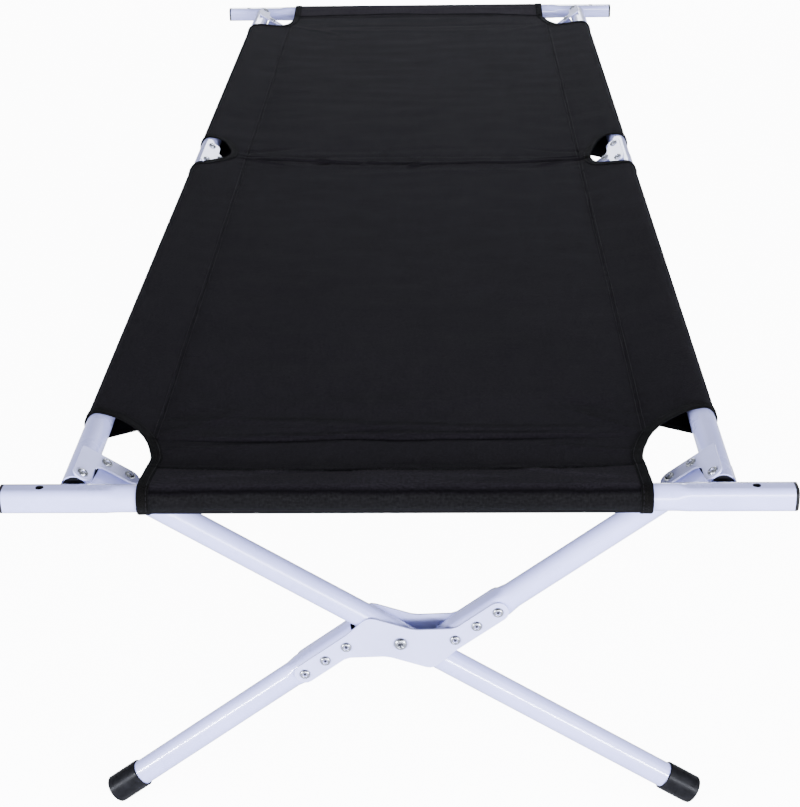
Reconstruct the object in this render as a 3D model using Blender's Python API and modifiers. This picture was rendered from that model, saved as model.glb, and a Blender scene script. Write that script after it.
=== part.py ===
"""A folding camp cot: two side rails on three crossed leg frames, two end bars and a fabric bed.

Metres, +Z up, +Y along the length from the near end to the far end, floor at z = 0.
The left side turns about the pivots of the three crossed frames. The end bars slide out along X.
"""

import math

import bmesh
import bpy
from mathutils import Matrix, Vector

# Overall frame
BED_LENGTH = 1.870
BAR_LENGTH = 0.700
RAIL_X = 0.288
RAIL_Z = 0.372
PIVOT_Z = 0.1895
LEG_B_OFFSET = 0.028
FRAME_INSET = 0.0615
MIDDLE_Y = 0.042

# Tubes
TUBE_RADIUS = 0.0125
TUBE_WALL = 0.0012
TUBE_SIDES = 20
GAP = 0.0003

# End bars
SQUARE_HALF = 0.0120
SQUARE_CORNER = 0.0062
SQUARE_LENGTH = 0.094
BAR_HALF = 0.0111
BAR_CORNER = 0.0060
SQUARE_BLEND = 0.011
BAR_HOLE_X = 0.314
BAR_HOLE_RADIUS = 0.0039
BAR_PLUG_FLANGE = 0.0030
BAR_PLUG_DEPTH = 0.014

# Rails
RAIL_END = 0.0190
RAIL_PLUG_FACE = 0.0183
RAIL_PLUG_DEPTH = 0.0034
RAIL_NOSE = 0.0055
RAIL_NOSE_RADIUS = 0.0060

# Legs
LEG_START = 0.0131
LEG_B_CUT = 0.0298
LEG_B_SQUARE = 0.070

# Feet
FOOT_RADIUS = 0.0143
FOOT_LENGTH = 0.035
FOOT_SOLE = 0.0085
FOOT_END_Z = 0.0074
FOOT_DOME = 0.0012

# Plates and rivets
PLATE_INNER = 0.0128
PLATE_THICKNESS = 0.0018
PLATE_OUTER = PLATE_INNER + PLATE_THICKNESS
ARM_HALF = 0.010
RAIL_ARM_HALF = 0.009
RAIL_RIVET = 0.0365
ARM_RIVETS = (0.0175, 0.0410)
MIDDLE_RIVET = 0.031
MIDDLE_ARM = 0.045
CROSS_RIVETS = (0.0436, 0.0690, 0.0940)
RIVET_RADIUS = 0.0025
RIVET_HEAD = 0.0050
RIVET_DOME = 0.0022
RIVET_HOLE = 0.0029
PIVOT_RADIUS = 0.0035
PIVOT_HEAD = 0.0062
PIVOT_DOME = 0.0028
PIVOT_HOLE = 0.0040
RIVET_SIDES = 10

# Fabric
SLEEVE_RADIUS = 0.0137
SLEEVE_THICKNESS = 0.0008
END_SLEEVE_RADIUS = 0.0157
SIDE_SLEEVE_NEAR = -0.778
SIDE_SLEEVE_FAR = 0.822
NOTCH_NEAR = -0.020
NOTCH_FAR = 0.110
BAR_SLEEVE_HALF = 0.228
PANEL_Z = RAIL_Z + 0.0040
PANEL_THICKNESS = 0.0010
PANEL_HALF = 0.2742
PANEL_END_GAP = 0.0160

BAR_Y = BED_LENGTH / 2
FRAMES = {"near": FRAME_INSET - BAR_Y, "middle": MIDDLE_Y, "far": BAR_Y - FRAME_INSET}
REACH = math.hypot(RAIL_X, RAIL_Z - PIVOT_Z)
LEG_A_TILT = math.atan2(RAIL_Z - PIVOT_Z, RAIL_X)
LEG_B_TILT = LEG_A_TILT + math.asin(LEG_B_OFFSET / REACH)
LEG_B_REACH = math.sqrt(REACH**2 - LEG_B_OFFSET**2)
FOLD_AXIS = Vector((0, 0, PIVOT_Z))
FLOOR = Vector((0, 0, 0))
UP = Vector((0, 0, 1))
ALONG = Vector((0, 1, 0))


def clear_scene():
    for old in list(bpy.data.objects):
        bpy.data.objects.remove(old)
    for old in list(bpy.data.collections):
        bpy.data.collections.remove(old)


def new_collection(name):
    made = bpy.data.collections.new(name)
    bpy.context.scene.collection.children.link(made)
    return made


def new_material(name, colour, roughness, metallic):
    made = bpy.data.materials.new(name)
    made.use_nodes = True
    shader = made.node_tree.nodes["Principled BSDF"]
    shader.inputs["Base Color"].default_value = (*colour, 1)
    shader.inputs["Roughness"].default_value = roughness
    shader.inputs["Metallic"].default_value = metallic
    made.diffuse_color = (*colour, 1)
    return made


clear_scene()
PARTS = new_collection("folding_cot")
CUTTERS = new_collection("cutters")
CUTTERS.hide_render = True
PAINT = new_material("frame_paint", (0.62, 0.63, 0.72), 0.35, 0.0)
STEEL = new_material("rivet_steel", (0.70, 0.70, 0.71), 0.25, 1.0)
RUBBER = new_material("foot_rubber", (0.015, 0.015, 0.016), 0.45, 0.0)
PLUG = new_material("plug_plastic", (0.012, 0.012, 0.013), 0.40, 0.0)
FABRIC = new_material("cot_fabric", (0.018, 0.017, 0.021), 0.80, 0.0)


def make_object(name, bm, origin, collection):
    bmesh.ops.recalc_face_normals(bm, faces=bm.faces)
    bmesh.ops.translate(bm, verts=bm.verts, vec=-origin)
    mesh = bpy.data.meshes.new(name)
    bm.to_mesh(mesh)
    bm.free()
    made = bpy.data.objects.new(name, mesh)
    made.location = origin
    collection.objects.link(made)
    return made


def node(name, bm, finish, origin=FLOOR):
    made = make_object(name, bm, origin, PARTS)
    made.data.materials.append(finish)
    return made


def cutter(name, bm):
    made = make_object(name, bm, FLOOR, CUTTERS)
    made.hide_render = True
    made.display_type = "WIRE"
    return made


def boolean(target, other, operation):
    step = target.modifiers.new(other.name, "BOOLEAN")
    step.operation = operation
    step.solver = "EXACT"
    step.object = other


def add_rod(bm, start, end, radius, sides, caps=True):
    axis = end - start
    turn = axis.to_track_quat("Z", "Y").to_matrix().to_4x4()
    bmesh.ops.create_cone(
        bm,
        cap_ends=caps,
        segments=sides,
        radius1=radius,
        radius2=radius,
        depth=axis.length,
        matrix=Matrix.Translation((start + end) / 2) @ turn,
    )


def tube(name, start, end, finish, origin=FLOOR, radius=TUBE_RADIUS, wall=TUBE_WALL):
    bm = bmesh.new()
    add_rod(bm, start, end, radius, TUBE_SIDES, caps=False)
    made = node(name, bm, finish, origin)
    shell = made.modifiers.new("wall", "SOLIDIFY")
    shell.thickness = wall
    shell.offset = -1
    return made


def rod(name, start, end, radius, finish, origin=FLOOR):
    bm = bmesh.new()
    add_rod(bm, start, end, radius, TUBE_SIDES)
    return node(name, bm, finish, origin)


def drill(target, centre, direction, radius):
    """A round hole right through a tube, for a rivet."""
    bm = bmesh.new()
    reach = direction * (TUBE_RADIUS + 0.004)
    add_rod(bm, centre - reach, centre + reach, radius, RIVET_SIDES)
    boolean(target, cutter("hole_" + target.name, bm), "DIFFERENCE")


def rounded_square(half, corner, angle):
    """Distance from the centre to the edge of a rounded square, or of a circle when corner is half."""
    fold = abs((angle + math.pi / 4) % (math.pi / 2) - math.pi / 4)
    flat = half - corner
    if half * math.tan(fold) <= flat:
        return half / math.cos(fold)
    lean = flat * (math.cos(fold) + math.sin(fold))
    return lean + math.sqrt(max(0.0, lean**2 - 2 * flat**2 + corner**2))


def add_ring(bm, centre, side, rise, half, corner):
    ring = []
    for index in range(TUBE_SIDES):
        angle = 2 * math.pi * index / TUBE_SIDES
        reach = rounded_square(half, corner, angle)
        offset = side * math.cos(angle) + rise * math.sin(angle)
        ring.append(bm.verts.new(centre + offset * reach))
    return ring


def bridge(bm, first, second):
    for index in range(len(first)):
        after = (index + 1) % len(first)
        bm.faces.new((first[index], first[after], second[after], second[index]))


def loft(start, direction, side, stations, wall):
    """A tube, or a solid when wall is 0, through sections of (distance, half width, corner radius)."""
    bm = bmesh.new()
    rise = direction.cross(side)
    outer = [add_ring(bm, start + direction * d, side, rise, h, c) for d, h, c in stations]
    for first, second in zip(outer, outer[1:]):
        bridge(bm, first, second)
    if wall:
        inner = [add_ring(bm, start + direction * d, side, rise, h - wall, c - wall) for d, h, c in stations]
        for first, second in zip(inner, inner[1:]):
            bridge(bm, first, second)
        bridge(bm, outer[0], inner[0])
        bridge(bm, outer[-1], inner[-1])
    else:
        bm.faces.new(outer[0])
        bm.faces.new(outer[-1])
    return bm


def add_lathe(bm, profile, place, sides):
    """A solid of revolution about the local Z axis, from (radius, height) points."""
    made = bmesh.new()
    verts = [made.verts.new((radius, 0, height)) for radius, height in profile]
    edges = [made.edges.new(pair) for pair in zip(verts, verts[1:])]
    bmesh.ops.spin(
        made,
        geom=verts + edges,
        cent=(0, 0, 0),
        axis=(0, 0, 1),
        angle=2 * math.pi,
        steps=sides,
        use_merge=True,
    )
    bmesh.ops.remove_doubles(made, verts=made.verts, dist=0.00002)
    bmesh.ops.transform(made, matrix=place, verts=made.verts)
    mesh = bpy.data.meshes.new("lathe")
    made.to_mesh(mesh)
    made.free()
    bm.from_mesh(mesh)
    bpy.data.meshes.remove(mesh)


def rivet_profile(radius, head, dome, seat, tail):
    """A dished head that sits at seat above the centre, a shank, and a flatter tail at tail below it."""
    return [
        (0, seat + dome * 0.45),
        (head * 0.28, seat + dome * 0.45),
        (head * 0.42, seat + dome),
        (head * 0.80, seat + dome * 0.78),
        (head, seat),
        (radius, seat),
        (radius, -tail),
        (head * 0.85, -tail),
        (head * 0.6, -tail - dome * 0.5),
        (0, -tail - dome * 0.5),
    ]


def axis_frame(centre, direction):
    return Matrix.Translation(centre) @ direction.to_track_quat("Z", "Y").to_matrix().to_4x4()


def add_rivet(target, centre, direction):
    """Unite a rivet with its head plate. It runs through the tube and past the tail plate."""
    bm = bmesh.new()
    profile = rivet_profile(RIVET_RADIUS, RIVET_HEAD, RIVET_DOME, PLATE_OUTER - 0.0004, PLATE_OUTER + GAP)
    add_lathe(bm, profile, axis_frame(centre, direction), RIVET_SIDES)
    boolean(target, cutter("rivet_" + target.name, bm), "UNION")


def rounded_outline(corners):
    """Points round a closed outline of (x, y, radius) corners, each rounded with its own radius."""
    points = []
    for index, (x, y, radius) in enumerate(corners):
        here = Vector((x, y))
        before = (Vector(corners[index - 1][:2]) - here).normalized()
        after = (Vector(corners[(index + 1) % len(corners)][:2]) - here).normalized()
        half = before.angle(after) / 2
        centre = here + (before + after).normalized() * (radius / math.sin(half))
        start = here + before * (radius / math.tan(half)) - centre
        end = here + after * (radius / math.tan(half)) - centre
        first = math.atan2(start.y, start.x)
        turn = (math.atan2(end.y, end.x) - first + math.pi) % (2 * math.pi) - math.pi
        count = max(1, round(abs(turn) / math.radians(24)))
        for step in range(count + 1):
            angle = first + turn * step / count
            points.append(centre + Vector((math.cos(angle), math.sin(angle))) * radius)
    return points


def circle_outline(x, y, radius):
    angles = [2 * math.pi * index / RIVET_SIDES for index in range(RIVET_SIDES)]
    return [Vector((x + radius * math.cos(a), y + radius * math.sin(a))) for a in angles]


def plate_mesh(outlines, thickness, place):
    """A flat plate with holes, from closed outlines, in the local XY plane and centred on it."""
    curve = bpy.data.curves.new("outline", "CURVE")
    curve.dimensions = "2D"
    curve.fill_mode = "BOTH"
    curve.extrude = thickness / 2
    for outline in outlines:
        spline = curve.splines.new("POLY")
        spline.points.add(len(outline) - 1)
        for point, at in zip(spline.points, outline):
            point.co = (at.x, at.y, 0, 1)
        spline.use_cyclic_u = True
    holder = bpy.data.objects.new("outline", curve)
    bpy.context.scene.collection.objects.link(holder)
    graph = bpy.context.evaluated_depsgraph_get()
    mesh = bpy.data.meshes.new_from_object(holder.evaluated_get(graph))
    bm = bmesh.new()
    bm.from_mesh(mesh)
    bmesh.ops.remove_doubles(bm, verts=bm.verts, dist=0.00001)
    bmesh.ops.transform(bm, matrix=place, verts=bm.verts)
    bpy.data.objects.remove(holder)
    bpy.data.curves.remove(curve)
    bpy.data.meshes.remove(mesh)
    return bm


def plate_frame(centre, along, across, normal):
    frame = Matrix((along, across, normal)).transposed().to_4x4()
    return Matrix.Translation(centre) @ frame


def corner_outline():
    """The corner bracket: one arm along the leg, one along the rail towards the end bar."""
    tip = ARM_RIVETS[1] + ARM_HALF
    end = -RAIL_RIVET - RAIL_ARM_HALF
    return [
        (-RAIL_ARM_HALF, ARM_HALF, 0.003),
        (-RAIL_ARM_HALF, end, RAIL_ARM_HALF * 0.96),
        (RAIL_ARM_HALF, end, RAIL_ARM_HALF * 0.96),
        (RAIL_ARM_HALF, -ARM_HALF, 0.010),
        (tip, -ARM_HALF, ARM_HALF * 0.96),
        (tip, ARM_HALF, ARM_HALF * 0.96),
    ]


def middle_outline():
    """The middle bracket: one arm along the leg, one each way along the rail over the joint."""
    tip = ARM_RIVETS[1] + ARM_HALF
    half = [
        (-RAIL_ARM_HALF, -MIDDLE_ARM, RAIL_ARM_HALF * 0.96),
        (RAIL_ARM_HALF + 0.003, -MIDDLE_ARM, RAIL_ARM_HALF),
        (RAIL_ARM_HALF + 0.003, -ARM_HALF, 0.009),
        (tip, -ARM_HALF, ARM_HALF * 0.96),
    ]
    return half + [(u, -v, radius) for u, v, radius in reversed(half)]


def leg_b_point(along, offset):
    """A point in the frame plane, measured from the pivot along leg B and square to it."""
    x = along * math.cos(LEG_B_TILT) + offset * math.sin(LEG_B_TILT)
    return Vector((x, along * math.sin(LEG_B_TILT) - offset * math.cos(LEG_B_TILT)))


def cross_outline():
    """The crossing plate, the same turned half round: two arms on leg B and two humps."""
    tip = CROSS_RIVETS[2] + ARM_HALF
    inner = leg_b_point(CROSS_RIVETS[0] + 0.007, LEG_B_OFFSET - ARM_HALF)
    upper = leg_b_point(tip, LEG_B_OFFSET - ARM_HALF)
    lower = leg_b_point(tip, LEG_B_OFFSET + ARM_HALF)
    corner = leg_b_point(CROSS_RIVETS[0] - 0.008, LEG_B_OFFSET + ARM_HALF)
    half = [
        (upper.x, upper.y, ARM_HALF * 0.96),
        (inner.x, inner.y, 0.010),
        (0.0125, 0.0146, 0.020),
        (-0.0305, 0.0288, 0.012),
        (-corner.x, -corner.y, 0.006),
        (-lower.x, -lower.y, ARM_HALF * 0.96),
    ]
    return half + [(-x, -y, radius) for x, y, radius in half]


def panel_outline():
    """The bed with its four corner cut-outs and the two notches at the middle brackets."""
    near = PANEL_END_GAP - BAR_Y
    far = BAR_Y - PANEL_END_GAP
    right = [
        (0.228, near, 0.001),
        (0.226, near + 0.083, 0.060),
        (0.247, near + 0.127, 0.012),
        (PANEL_HALF, near + 0.134, 0.001),
        (PANEL_HALF, NOTCH_NEAR, 0.001),
        (0.256, NOTCH_NEAR, 0.002),
        (0.256, 0.018, 0.004),
        (0.246, 0.040, 0.012),
        (0.246, 0.088, 0.014),
        (0.262, NOTCH_FAR, 0.010),
        (PANEL_HALF, NOTCH_FAR, 0.001),
        (PANEL_HALF, far - 0.118, 0.001),
        (0.247, far - 0.124, 0.012),
        (0.226, far - 0.083, 0.060),
        (0.228, far, 0.001),
    ]
    return right + [(-x, y, radius) for x, y, radius in reversed(right)]


def leg_a_dir():
    return Vector((math.cos(LEG_A_TILT), 0, -math.sin(LEG_A_TILT)))


def leg_b_dir():
    return Vector((-math.cos(LEG_B_TILT), 0, -math.sin(LEG_B_TILT)))


def build_bracket(side, place, y):
    """The upper and lower plates that hold one rail end or joint to one leg."""
    sign = -1 if side == "left" else 1
    origin = FOLD_AXIS if side == "left" else FLOOR
    leg = leg_a_dir() if side == "left" else leg_b_dir()
    across = -ALONG if place == "far" else ALONG
    normal = Vector((leg.z, 0, -leg.x)) * sign
    rail = Vector((sign * RAIL_X, y, RAIL_Z))
    spots = [(u, 0.0) for u in ARM_RIVETS]
    spots += [(0.0, v) for v in (-MIDDLE_RIVET, MIDDLE_RIVET)] if place == "middle" else [(0.0, -RAIL_RIVET)]
    outline = rounded_outline(middle_outline() if place == "middle" else corner_outline())
    centre = PLATE_INNER + PLATE_THICKNESS / 2
    name = f"bracket_{side}_{place}_"
    bm = plate_mesh([outline], PLATE_THICKNESS, plate_frame(rail + normal * centre, leg, across, normal))
    upper = node(name + "upper", bm, PAINT, origin)
    holes = [circle_outline(u, v, RIVET_HOLE) for u, v in spots]
    frame = plate_frame(rail - normal * centre, leg, across, normal)
    node(name + "lower", plate_mesh([outline, *holes], PLATE_THICKNESS, frame), PAINT, origin)
    for u, v in spots:
        add_rivet(upper, rail + leg * u + across * v, normal)


def drill_leg_end(target, sign, leg, y):
    normal = Vector((leg.z, 0, -leg.x)) * sign
    rail = Vector((sign * RAIL_X, y, RAIL_Z))
    for distance in ARM_RIVETS:
        drill(target, rail + leg * distance, normal, RIVET_HOLE)


def build_foot(name, end, leg, origin):
    """A rubber cup over the end of a leg, cut flat where it meets the floor."""
    cavity = TUBE_RADIUS + GAP
    profile = [
        (0, FOOT_LENGTH + FOOT_DOME),
        (FOOT_RADIUS * 0.6, FOOT_LENGTH + FOOT_DOME * 0.75),
        (FOOT_RADIUS * 0.93, FOOT_LENGTH),
        (FOOT_RADIUS, FOOT_LENGTH - 0.0012),
        (FOOT_RADIUS, 0.0006),
        (FOOT_RADIUS - 0.0006, 0),
        (cavity, 0),
        (cavity, FOOT_LENGTH - FOOT_SOLE),
        (0, FOOT_LENGTH - FOOT_SOLE),
    ]
    bm = bmesh.new()
    add_lathe(bm, profile, axis_frame(end - leg * FOOT_LENGTH, leg), TUBE_SIDES)
    geometry = bm.verts[:] + bm.edges[:] + bm.faces[:]
    cut = bmesh.ops.bisect_plane(bm, geom=geometry, plane_co=FLOOR, plane_no=-UP, clear_outer=True)
    edges = [part for part in cut["geom_cut"] if isinstance(part, bmesh.types.BMEdge)]
    bmesh.ops.contextual_create(bm, geom=edges)
    node(name, bm, RUBBER, origin)


def build_leg_a(place, y):
    leg = leg_a_dir()
    rail = Vector((-RAIL_X, y, RAIL_Z))
    foot = rail + leg * ((RAIL_Z - FOOT_END_Z) / math.sin(LEG_A_TILT))
    made = tube("leg_a_" + place, rail + leg * LEG_START, foot - leg * (FOOT_SOLE + GAP), PAINT, FOLD_AXIS)
    drill_leg_end(made, -1, leg, y)
    drill(made, Vector((0, y, PIVOT_Z)), ALONG, PIVOT_HOLE)
    build_foot("foot_a_" + place, foot, leg, FOLD_AXIS)


def leg_stations(length, squared_first):
    """Sections of a leg B half: round, then squared where it lies between the crossing plates."""
    round_part = (TUBE_RADIUS, TUBE_RADIUS)
    square_part = (SQUARE_HALF, SQUARE_CORNER)
    if squared_first:
        return [
            (0.0, *square_part),
            (LEG_B_SQUARE, *square_part),
            (LEG_B_SQUARE + SQUARE_BLEND, *round_part),
            (length, *round_part),
        ]
    return [
        (0.0, *round_part),
        (length - LEG_B_SQUARE - SQUARE_BLEND, *round_part),
        (length - LEG_B_SQUARE, *square_part),
        (length, *square_part),
    ]


def build_leg_b(place, y):
    leg = leg_b_dir()
    pivot = Vector((0, y, PIVOT_Z))
    rail = Vector((RAIL_X, y, RAIL_Z))
    length = LEG_B_REACH - LEG_START - LEG_B_CUT
    bm = loft(rail + leg * LEG_START, leg, ALONG, leg_stations(length, False), TUBE_WALL)
    top = node("leg_b_top_" + place, bm, PAINT)
    drill_leg_end(top, 1, leg, y)
    shift = leg_b_point(0, -LEG_B_OFFSET)
    start = pivot + Vector((shift.x, 0, shift.y)) + leg * LEG_B_CUT
    length = (start.z - FOOT_END_Z) / math.sin(LEG_B_TILT)
    inside = leg_stations(length - FOOT_SOLE - GAP, True)
    low = node("leg_b_low_" + place, loft(start, leg, ALONG, inside, TUBE_WALL), PAINT)
    for along in CROSS_RIVETS:
        spot = leg_b_point(along, LEG_B_OFFSET)
        offset = Vector((spot.x, 0, spot.y))
        drill(top, pivot + offset, ALONG, RIVET_HOLE)
        drill(low, pivot - offset, ALONG, RIVET_HOLE)
    build_foot("foot_b_" + place, start + leg * length, leg, FLOOR)


def build_cross(place, y):
    """The front and back plates of one crossing, and the pivot rivet through both and leg A."""
    face = ALONG if place == "far" else -ALONG
    pivot = Vector((0, y, PIVOT_Z))
    outline = rounded_outline(cross_outline())
    spots = [leg_b_point(along, LEG_B_OFFSET) for along in CROSS_RIVETS]
    spots += [-spot for spot in spots]
    centre = face * (PLATE_INNER + PLATE_THICKNESS / 2)
    sideways = Vector((1, 0, 0))
    pin_hole = circle_outline(0, 0, PIVOT_HOLE)
    frame = plate_frame(pivot + centre, sideways, UP, face)
    front = node(f"cross_{place}_front", plate_mesh([outline, pin_hole], PLATE_THICKNESS, frame), PAINT)
    holes = [circle_outline(spot.x, spot.y, RIVET_HOLE) for spot in spots]
    frame = plate_frame(pivot - centre, sideways, UP, face)
    node(f"cross_{place}_back", plate_mesh([outline, pin_hole, *holes], PLATE_THICKNESS, frame), PAINT)
    for spot in spots:
        add_rivet(front, pivot + Vector((spot.x, 0, spot.y)), face)
    bm = bmesh.new()
    seat = PLATE_OUTER + GAP
    profile = rivet_profile(PIVOT_RADIUS, PIVOT_HEAD, PIVOT_DOME, seat, seat)
    add_lathe(bm, profile, axis_frame(pivot, face), RIVET_SIDES)
    node("pivot_" + place, bm, STEEL)


def build_rail(side, place):
    sign = -1 if side == "left" else 1
    end = -1 if place == "near" else 1
    origin = FOLD_AXIS if side == "left" else FLOOR
    leg = leg_a_dir() if side == "left" else leg_b_dir()
    normal = Vector((leg.z, 0, -leg.x)) * sign
    axis = Vector((sign * RAIL_X, 0, RAIL_Z))
    outer = axis + ALONG * (end * (BAR_Y - RAIL_END))
    inner = axis + ALONG * (MIDDLE_Y + end * GAP)
    made = tube(f"rail_{side}_{place}", inner, outer, PAINT, origin)
    corner = end * (BAR_Y - FRAME_INSET + RAIL_RIVET)
    middle = MIDDLE_Y + end * MIDDLE_RIVET
    for y in (corner, middle):
        drill(made, axis + ALONG * y, normal, RIVET_HOLE)
    radius = TUBE_RADIUS - TUBE_WALL - GAP
    profile = [
        (0, RAIL_PLUG_DEPTH + RAIL_NOSE),
        (RAIL_NOSE_RADIUS - 0.001, RAIL_PLUG_DEPTH + RAIL_NOSE),
        (RAIL_NOSE_RADIUS, RAIL_PLUG_DEPTH + RAIL_NOSE - 0.001),
        (RAIL_NOSE_RADIUS, RAIL_PLUG_DEPTH),
        (radius, RAIL_PLUG_DEPTH),
        (radius, 0),
        (0, 0),
    ]
    back = axis + ALONG * (end * (BAR_Y - RAIL_PLUG_FACE - RAIL_PLUG_DEPTH))
    bm = bmesh.new()
    add_lathe(bm, profile, axis_frame(back, ALONG * end), TUBE_SIDES)
    node(f"rail_plug_{side}_{place}", bm, PLUG, origin)


def build_bar(place):
    """An end bar: a round tube with squared ends, a hole near each end, and two plugs."""
    end = -1 if place == "near" else 1
    centre = Vector((0, end * BAR_Y, RAIL_Z))
    sideways = Vector((1, 0, 0))
    half = BAR_LENGTH / 2 - BAR_PLUG_FLANGE - GAP
    square = half + BAR_PLUG_FLANGE - SQUARE_LENGTH
    ends = [(half, BAR_HALF, BAR_CORNER), (square, BAR_HALF, BAR_CORNER)]
    ends.append((square - SQUARE_BLEND, TUBE_RADIUS, TUBE_RADIUS))
    stations = [(-d, h, c) for d, h, c in ends] + list(reversed(ends))
    bar = node(f"bar_{place}", loft(centre, sideways, ALONG, stations, TUBE_WALL), PAINT, centre)
    for side, sign in (("left", -1), ("right", 1)):
        drill(bar, centre + sideways * (sign * BAR_HOLE_X), UP, BAR_HOLE_RADIUS)
        stub = BAR_HALF - TUBE_WALL - GAP
        sections = [
            (half - BAR_PLUG_DEPTH, stub, BAR_CORNER - TUBE_WALL - GAP),
            (half + GAP, stub, BAR_CORNER - TUBE_WALL - GAP),
            (half + GAP, BAR_HALF, BAR_CORNER),
            (half + GAP + BAR_PLUG_FLANGE - 0.0006, BAR_HALF, BAR_CORNER),
            (half + GAP + BAR_PLUG_FLANGE, BAR_HALF - 0.0006, BAR_CORNER - 0.0006),
        ]
        bm = loft(centre, sideways * sign, ALONG, sections, 0)
        node(f"bar_plug_{side}_{place}", bm, PLUG, centre)


def build_sleeves():
    spans = {"near": (SIDE_SLEEVE_NEAR, NOTCH_NEAR), "far": (NOTCH_FAR, SIDE_SLEEVE_FAR)}
    for side, sign in (("left", -1), ("right", 1)):
        origin = FOLD_AXIS if side == "left" else FLOOR
        axis = Vector((sign * RAIL_X, 0, RAIL_Z))
        for place, (start, end) in spans.items():
            name = f"side_sleeve_{side}_{place}"
            first = axis + ALONG * start
            last = axis + ALONG * end
            tube(name, first, last, FABRIC, origin, SLEEVE_RADIUS, SLEEVE_THICKNESS)
    for place, end in (("near", -1), ("far", 1)):
        centre = Vector((0, end * BAR_Y, RAIL_Z))
        reach = Vector((BAR_SLEEVE_HALF, 0, 0))
        name = "end_sleeve_" + place
        tube(name, centre - reach, centre + reach, FABRIC, FLOOR, END_SLEEVE_RADIUS, SLEEVE_THICKNESS)


def build_panel():
    place = Matrix.Translation((0, 0, PANEL_Z))
    bm = plate_mesh([rounded_outline(panel_outline())], PANEL_THICKNESS, place)
    node("bed_panel", bm, FABRIC)


def build():
    for place, y in FRAMES.items():
        build_leg_a(place, y)
        build_leg_b(place, y)
        build_cross(place, y)
        build_bracket("left", place, y)
        build_bracket("right", place, y)
    for place in ("near", "far"):
        build_bar(place)
        build_rail("left", place)
        build_rail("right", place)
    build_sleeves()
    build_panel()


build()
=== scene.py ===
"""A folding camp cot on a pale floor: powder-coated tubes round a stretched black fabric bed.

Metres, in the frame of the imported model: +X right, +Y along the bed, +Z up, floor at z = 0.
"""

import math

import bmesh
import bpy
from mathutils import Matrix, Vector, noise
from mathutils.geometry import delaunay_2d_cdt


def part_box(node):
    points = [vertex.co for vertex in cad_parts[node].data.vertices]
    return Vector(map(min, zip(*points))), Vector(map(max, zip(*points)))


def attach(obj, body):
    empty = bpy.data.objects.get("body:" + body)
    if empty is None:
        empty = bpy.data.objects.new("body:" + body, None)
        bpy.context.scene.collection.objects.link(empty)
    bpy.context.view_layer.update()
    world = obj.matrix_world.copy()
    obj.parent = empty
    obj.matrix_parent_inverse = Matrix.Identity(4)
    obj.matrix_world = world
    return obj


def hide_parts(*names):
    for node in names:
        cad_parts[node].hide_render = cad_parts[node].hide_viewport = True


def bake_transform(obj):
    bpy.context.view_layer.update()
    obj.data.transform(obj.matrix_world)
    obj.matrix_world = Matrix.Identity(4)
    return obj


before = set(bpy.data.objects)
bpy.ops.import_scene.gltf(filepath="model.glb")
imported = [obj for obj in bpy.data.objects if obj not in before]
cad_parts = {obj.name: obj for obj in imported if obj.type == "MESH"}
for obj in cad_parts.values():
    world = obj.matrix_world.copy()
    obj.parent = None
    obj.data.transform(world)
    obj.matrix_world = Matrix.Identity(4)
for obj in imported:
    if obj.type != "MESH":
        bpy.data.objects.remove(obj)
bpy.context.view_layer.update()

# ---------------------------------------------------------------- dimensions
# Places come from the frame's boxes; what a box can't give repeats the part's own driving values.
RAIL_LOW, RAIL_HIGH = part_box("rail_right_near")
RAIL_X = (RAIL_LOW.x + RAIL_HIGH.x) / 2
RAIL_Z = (RAIL_LOW.z + RAIL_HIGH.z) / 2
BAR_LOW, BAR_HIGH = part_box("bar_far")
BAR_Y = (BAR_LOW.y + BAR_HIGH.y) / 2
PIVOT_LOW, PIVOT_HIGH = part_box("pivot_near")
PIVOT_Z = (PIVOT_LOW.z + PIVOT_HIGH.z) / 2
FRAMES = {}
for place in ("near", "middle", "far"):
    leg_low, leg_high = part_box("leg_a_" + place)
    FRAMES[place] = (leg_low.y + leg_high.y) / 2
LEG_B_OFFSET = 0.028  # leg B's centre line passes the pivot at this distance
REACH = math.hypot(RAIL_X, RAIL_Z - PIVOT_Z)
LEG_A_TILT = math.atan2(RAIL_Z - PIVOT_Z, RAIL_X)
LEG_B_TILT = LEG_A_TILT + math.asin(LEG_B_OFFSET / REACH)
LEG_B_REACH = math.sqrt(REACH**2 - LEG_B_OFFSET**2)
PLATE_OUTER = 0.0146  # outer face of a plate, from its tube's centre line
LEG_FLAT = 0.0058  # half width of the flats where leg B is squared
BAR_FLAT = 0.0051  # and where an end bar is
SQUARE_FROM = 0.256  # an end bar is squared beyond this distance from its middle
SQUARE_BLEND = 0.011  # length over which round turns to square
LEG_B_CUT = 0.0298  # leg B stops this far short of the pivot, above and below
LEG_B_SQUARE = 0.070  # length of leg B that is squared at the crossing
ARM_RIVETS = (0.0175, 0.0410)  # along the leg, from the rail
RAIL_RIVET = 0.0365  # along the rail, from the leg
MIDDLE_RIVETS = (-0.031, 0.031)  # the same on a middle bracket
CROSS_RIVETS = (0.0436, 0.0690, 0.0940)  # along leg B, from the pivot
PIVOT_SEAT = 0.0004  # a pivot's head sits this much further out than a rivet's

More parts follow.
